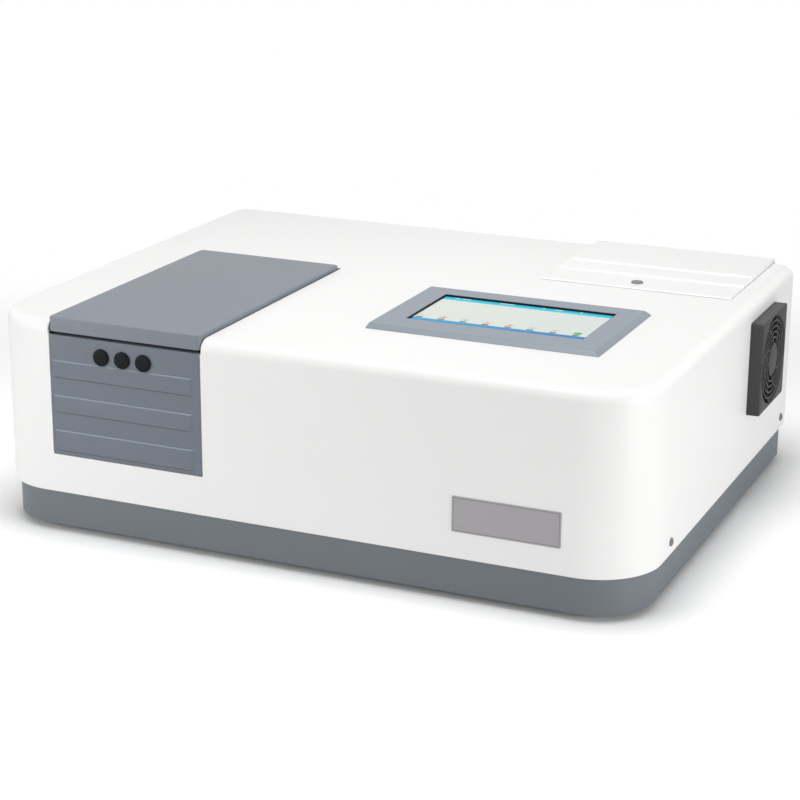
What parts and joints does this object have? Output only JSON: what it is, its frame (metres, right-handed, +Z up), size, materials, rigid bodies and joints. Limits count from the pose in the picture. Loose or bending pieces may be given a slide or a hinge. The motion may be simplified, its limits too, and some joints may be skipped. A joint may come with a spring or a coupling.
{
  "type": "spectrophotometer",
  "caption": "Benchtop double-beam spectrophotometer with a hinged sample lid, touch screen, lamp hatch and side fan.",
  "frame": {"origin": "on the table under the centre of the whole object", "axes": "+X towards the fan side, -Y towards the user, +Z up"},
  "size_m": [0.5931, 0.4599, 0.191],
  "materials": {
    "cover_white": "satin white moulded plastic",
    "base_grey": "fine textured grey moulded plastic",
    "lid_grey": "fine textured grey moulded plastic",
    "bezel_grey": "smooth grey moulded plastic",
    "black_plastic": "black plastic",
    "guard_dark": "dark grey glass filled plastic",
    "rubber_black": "black rubber",
    "steel": "bare steel",
    "plate_silver": "brushed anodised aluminium",
    "chamber_black": "flat black coating",
    "anodised_black": "black anodised aluminium",
    "cast_bench": "cast aluminium",
    "quartz": "clear fused quartz",
    "filter_glass": "coloured filter glass",
    "mirror_coat": "front surface mirror",
    "grating_face": "ruled metal coated face",
    "screen_glass": "touch glass over a lit display",
    "lcd_metal": "pressed display frame",
    "board_green": "green circuit board",
    "zinc_steel": "zinc plated sheet",
    "foam_black": "closed cell foam"
  },
  "bodies": {
    "chassis": {"base_tray": "base_grey", "bench_mounts": "rubber_black", "board_standoffs": "steel", "carriage_motor": "black_plastic", "chamber_windows": "quartz", "collimating_mirrors": "mirror_coat", "cover_screws": "steel", "data_port": "zinc_steel", "detector_boards": "board_green", "detector_housings": "anodised_black", "deuterium_lamp": "quartz", "display_board": "board_green", "fan_frame": "black_plastic", "fan_guard": "guard_dark", "fan_screws": "steel", "filter_wheel_motor": "black_plastic", "fold_mirrors": "mirror_coat", "foot_screws": "steel", "front_panel": "lid_grey", "fuse_holder": "black_plastic", "grating_motor": "black_plastic", "guide_rods": "steel", "halogen_lamp": "quartz", "lamp_bracket": "zinc_steel", "lcd_module": "lcd_metal", "lid_hinge_brackets": "anodised_black", "lid_hinge_pins": "steel", "lid_seal": "foam_black", "main_board": "board_green", "mirror_stands": "anodised_black", "nameplate": "plate_silver", "optical_bench": "cast_bench", "port_plugs": "black_plastic", "power_inlet": "black_plastic", "power_supply": "zinc_steel", "rear_panel": "zinc_steel", "reference_holder": "anodised_black", "rubber_feet": "rubber_black", "sample_chamber": "anodised_black", "screen_bezel": "bezel_grey", "slit_plates": "anodised_black", "source_mirror_motor": "black_plastic", "switch_body": "black_plastic", "touch_glass": "screen_glass", "upper_cover": "cover_white"},
    "lid": {"sample_lid": "lid_grey", "lid_liner": "chamber_black"},
    "carriage": {"cell_carriage": "anodised_black"},
    "drive_screw": {"lead_screw": "steel"},
    "turntable": {"grating_turntable": "anodised_black", "grating": "grating_face"},
    "wheel": {"filter_wheel": "anodised_black", "filter_glasses": "filter_glass"},
    "flip_mirror": {"source_mirror": "mirror_coat"},
    "rotor": {"fan_rotor": "black_plastic"},
    "rocker": {"power_switch": "black_plastic"},
    "hatch": {"lamp_cover": "cover_white"},
    "hatch_screw": {"lamp_cover_screw": "guard_dark"}
  },
  "joints": [
    {"name": "lid_hinge", "type": "hinge", "parent": "chassis", "child": "lid", "pos_m": [-0.15985, 0.024, 0.183], "axis": [-1, 0, 0], "range_deg": [0, 90]},
    {"name": "carriage_slide", "type": "slide", "parent": "chassis", "child": "carriage", "axis": [0, 1, 0], "range_m": [-0.0308, 0.0308]},
    {"name": "drive_screw_spin", "type": "hinge", "parent": "chassis", "child": "drive_screw", "pos_m": [-0.15985, -0.1, 0.075], "axis": [0, 1, 0], "range_deg": [-1440, 1440]},
    {"name": "grating_turn", "type": "hinge", "parent": "chassis", "child": "turntable", "pos_m": [0.0494, 0.06, 0.09], "axis": [0, 0, 1], "range_deg": [-15, 40]},
    {"name": "filter_wheel_spin", "type": "hinge", "parent": "chassis", "child": "wheel", "pos_m": [0.0864, 0.12, 0.082], "axis": [1, 0, 0], "continuous": true},
    {"name": "source_mirror_turn", "type": "hinge", "parent": "chassis", "child": "flip_mirror", "pos_m": [0.1324, 0.12, 0.09], "axis": [0, 0, 1], "range_deg": [0, 45]},
    {"name": "fan_spin", "type": "hinge", "parent": "chassis", "child": "rotor", "pos_m": [0.2644, 0.107, 0.129], "axis": [1, 0, 0], "continuous": true},
    {"name": "power_switch_rock", "type": "hinge", "parent": "chassis", "child": "rocker", "pos_m": [-0.1506, 0.219, 0.0815], "axis": [1, 0, 0], "range_deg": [0, 16]},
    {"name": "hatch_lift", "type": "slide", "parent": "chassis", "child": "hatch", "axis": [0, 0, 1], "range_m": [0, 0.06]},
    {"name": "hatch_screw_turn", "type": "hinge", "parent": "hatch", "child": "hatch_screw", "pos_m": [0.1734, 0.093, 0.188], "axis": [0, 0, -1], "range_deg": [0, 90]}
  ],
  "couplings": [
    {"joint": "drive_screw_spin", "follows": "carriage_slide", "rad_per_m": 785.4}
  ]
}
